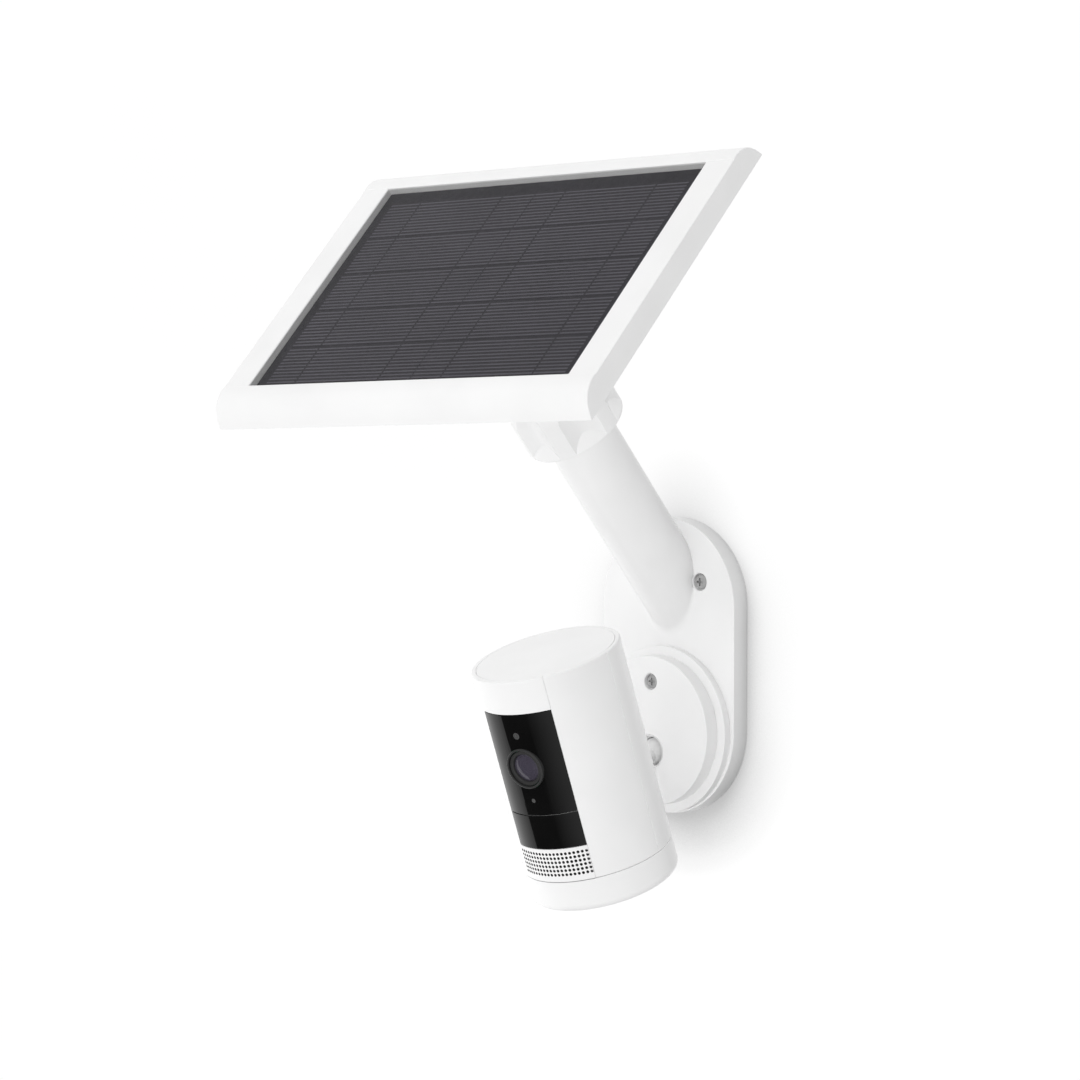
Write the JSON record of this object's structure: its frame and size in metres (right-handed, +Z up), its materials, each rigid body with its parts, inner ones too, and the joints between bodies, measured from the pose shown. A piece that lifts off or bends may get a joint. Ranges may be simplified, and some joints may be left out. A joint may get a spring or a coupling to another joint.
{
  "type": "solar-powered security camera",
  "caption": "Wall-mounted security camera: a round camera on a ball joint below a solar panel carried by a leaning tube arm with a scalloped locking collar.",
  "frame": {"origin": "centre of the wall plate's back face, on the wall", "axes": "+Z up along the plate, -Y straight out of the wall towards the viewer, +X to the right of a person facing the camera"},
  "size_m": [0.2005, 0.1895, 0.2954],
  "materials": {
    "white_plastic": "satin moulded ABS, fine texture",
    "white_gloss": "smooth satin-gloss polycarbonate",
    "inner_white": "plain moulded nylon",
    "friction_plastic": "low-friction acetal",
    "window_black": "high-gloss tinted acrylic",
    "lens_black": "fine matt black",
    "lens_glass": "coated, faint violet",
    "panel_glass": "low-reflection solar glass",
    "solar_cells": "laminated dark silicon with fine pale fingers",
    "screw_steel": "zinc plated",
    "black_rubber": "matt",
    "circuit_board": "solder mask green with components",
    "dark_plastic": "matt moulded",
    "diffuser": "translucent light grey",
    "contact_metal": "gold plated"
  },
  "bodies": {
    "wall_side": {"wall_plate": "white_plastic", "wall_screw_upper_left": "screw_steel", "wall_screw_upper_right": "screw_steel", "wall_screw_lower_left": "screw_steel", "wall_screw_lower_right": "screw_steel", "adapter_ring": "white_plastic", "mount_base": "white_plastic", "base_screw_upper": "screw_steel", "base_screw_lower": "screw_steel", "ball_retainer": "inner_white", "arm_lead": "black_rubber", "socket_cup": "friction_plastic"},
    "collar": {"locking_collar": "white_plastic"},
    "panel_liner": {"panel_ball_liner": "friction_plastic"},
    "panel_ball": {"panel_ball_stud": "inner_white", "stud_nut": "screw_steel", "panel_lead": "black_rubber"},
    "panel": {"panel_hub": "white_plastic", "hub_screw_1": "screw_steel", "hub_screw_2": "screw_steel", "hub_screw_3": "screw_steel", "panel_frame": "white_plastic", "panel_back_cover": "inner_white", "panel_glass": "panel_glass", "solar_cells": "solar_cells", "glass_gasket": "black_rubber", "charge_board": "circuit_board", "cover_screw_1": "screw_steel", "cover_screw_2": "screw_steel", "cover_screw_3": "screw_steel", "cover_screw_4": "screw_steel"},
    "camera_liner": {"camera_ball_liner": "inner_white"},
    "camera_ball": {"camera_ball_stud": "inner_white"},
    "camera": {"top_lid": "white_gloss", "front_shell": "white_gloss", "rear_shell": "white_gloss", "face_insert": "white_gloss", "camera_window": "window_black", "sensor_window": "window_black", "lens_bezel": "lens_black", "lens_barrel": "lens_black", "lens_glass": "lens_glass", "image_board": "circuit_board", "light_sensor": "lens_black", "status_led": "diffuser", "motion_sensor": "diffuser", "speaker": "dark_plastic", "main_board": "circuit_board", "battery_sleeve": "dark_plastic", "battery_contacts": "contact_metal"},
    "battery": {"battery_pack": "dark_plastic"},
    "battery_latch": {"battery_latch": "diffuser"},
    "setup_button": {"setup_button": "diffuser"},
    "cap_seal": {"cap_seal": "black_rubber"},
    "bottom_cap": {"bottom_cap": "white_gloss"}
  },
  "joints": [
    {"name": "collar_turn", "type": "hinge", "parent": "wall_side", "child": "collar", "pos_m": [0, -0.07596, 0.11312], "axis": [0, -0.6579, 0.7531], "range_deg": [0, 180]},
    {"name": "panel_swivel", "type": "hinge", "parent": "wall_side", "child": "panel_liner", "pos_m": [0, -0.07596, 0.11312], "axis": [0, -0.6579, 0.7531], "range_deg": [-90, 90]},
    {"name": "panel_tilt", "type": "hinge", "parent": "panel_liner", "child": "panel_ball", "pos_m": [0, -0.07596, 0.11312], "axis": [0.9646, -0.1987, -0.1736], "range_deg": [-36, 31]},
    {"name": "panel_spin", "type": "hinge", "parent": "panel_ball", "child": "panel", "pos_m": [0, -0.07596, 0.11312], "axis": [-0.0131, -0.6931, 0.7207], "range_deg": [-90, 90]},
    {"name": "camera_pan", "type": "hinge", "parent": "wall_side", "child": "camera_liner", "pos_m": [0, -0.0153, -0.0341], "axis": [0, 0, 1], "range_deg": [-36, 22]},
    {"name": "camera_tilt", "type": "hinge", "parent": "camera_liner", "child": "camera_ball", "pos_m": [0, -0.0153, -0.0341], "axis": [0.9907, 0.1357, 0], "range_deg": [-28, 8]},
    {"name": "camera_roll", "type": "hinge", "parent": "camera_ball", "child": "camera", "pos_m": [0, -0.0153, -0.0341], "axis": [-0.1294, 0.9449, 0.3005], "range_deg": [-30, 30]},
    {"name": "cap_pull", "type": "slide", "parent": "camera", "child": "cap_seal", "axis": [0.0474, 0.3086, -0.95], "range_m": [0, 0.06]},
    {"name": "cap_twist", "type": "hinge", "parent": "cap_seal", "child": "bottom_cap", "pos_m": [0.008, -0.0562, -0.07509], "axis": [-0.0474, -0.3086, 0.95], "range_deg": [-30, 0]},
    {"name": "battery_slide", "type": "slide", "parent": "camera", "child": "battery", "axis": [0.0474, 0.3086, -0.95], "range_m": [0, 0.04]},
    {"name": "latch_press", "type": "slide", "parent": "battery", "child": "battery_latch", "axis": [-0.1294, 0.9449, 0.3005], "range_m": [0, 0.0008]},
    {"name": "button_press", "type": "slide", "parent": "camera", "child": "setup_button", "axis": [-0.0474, -0.3086, 0.95], "range_m": [0, 0.0008]}
  ],
  "couplings": [
    {"joint": "battery_slide", "follows": "cap_pull", "ratio": 0.6}
  ]
}
